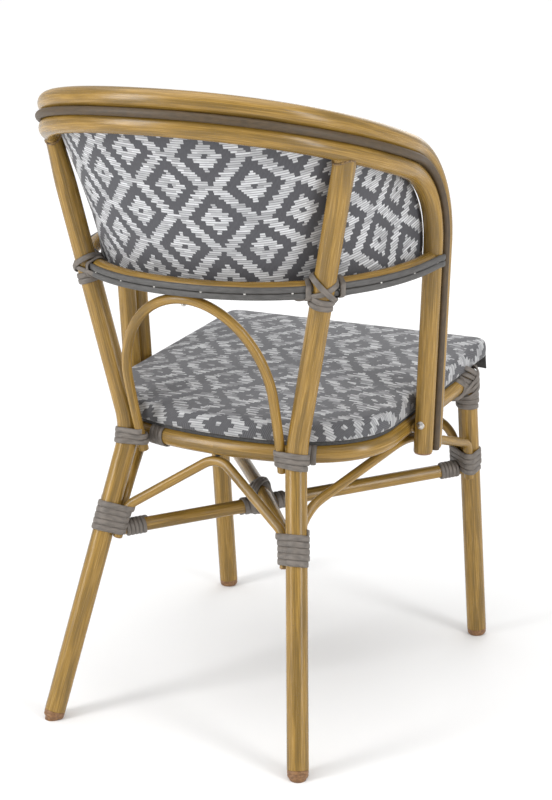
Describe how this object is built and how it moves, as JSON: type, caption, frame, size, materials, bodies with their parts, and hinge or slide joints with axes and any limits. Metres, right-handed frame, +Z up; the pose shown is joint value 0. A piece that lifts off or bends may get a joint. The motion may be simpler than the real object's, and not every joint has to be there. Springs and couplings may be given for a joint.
{
  "type": "bistro armchair",
  "caption": "Rattan bistro armchair: bamboo-look tube frame bound with grey cord, woven diamond-pattern seat pad and curved back panel",
  "frame": {"origin": "on the floor, under the middle of the chair's footprint", "axes": "+X the sitter's left, +Y the back of the chair, +Z up"},
  "size_m": [0.505, 0.5948, 0.8521],
  "materials": {
    "bamboo": "tan bamboo-look paint with node marks on aluminium tube",
    "brownStrand": "brown strand in the groove of the top rail",
    "greyCord": "grey flat cord",
    "weave": "woven outdoor cloth, dark ground with white diamonds",
    "lining": "dark lined seat board",
    "glide": "reddish-brown moulded plastic",
    "steel": "plain steel bolt",
    "blackRubber": "black rubber"
  },
  "bodies": {
    "root": {"top_rail_upper": "bamboo", "top_rail_lower": "bamboo", "top_rail_strand": "brownStrand", "rear_leg_left": "bamboo", "rear_leg_right": "bamboo", "front_leg_left": "bamboo", "front_leg_right": "bamboo", "lower_back_rail": "bamboo", "back_rail_strand_upper": "greyCord", "back_rail_strand_lower": "greyCord", "back_hoop": "bamboo", "seat_ring": "bamboo", "seat_board": "lining", "seat_pad": "weave", "back_panel": "weave", "arch_back": "bamboo", "arch_front": "bamboo", "arch_left": "bamboo", "arch_right": "bamboo", "stretcher_lower": "bamboo", "stretcher_upper": "bamboo", "leg_binding_rear_left": "greyCord", "leg_binding_rear_right": "greyCord", "leg_binding_front_left": "greyCord", "leg_binding_front_right": "greyCord", "seat_binding_rear_left": "greyCord", "seat_binding_rear_right": "greyCord", "seat_binding_front_left": "greyCord", "seat_binding_front_right": "greyCord", "upright_binding_left": "greyCord", "upright_binding_right": "greyCord", "bar_binding_rear_left": "greyCord", "bar_binding_rear_right": "greyCord", "bar_binding_front_left": "greyCord", "bar_binding_front_right": "greyCord", "cross_binding": "greyCord", "glide_rear_left": "glide", "glide_rear_right": "glide", "glide_front_left": "glide", "glide_front_right": "glide", "arm_spacer_left": "bamboo", "arm_spacer_right": "bamboo", "arm_bolt_left": "steel", "arm_bolt_right": "steel", "arm_plug_rear_left": "glide", "arm_plug_rear_right": "glide", "arm_plug_front_left": "glide", "arm_plug_front_right": "glide", "arch_spacer_back": "blackRubber", "arch_spacer_front": "blackRubber", "arch_spacer_left": "blackRubber", "arch_spacer_right": "blackRubber", "hoop_screw": "blackRubber", "side_rail_strand_upper_left": "greyCord", "side_rail_strand_upper_right": "greyCord", "side_rail_strand_lower_left": "greyCord", "side_rail_strand_lower_right": "greyCord"}
  },
  "joints": []
}
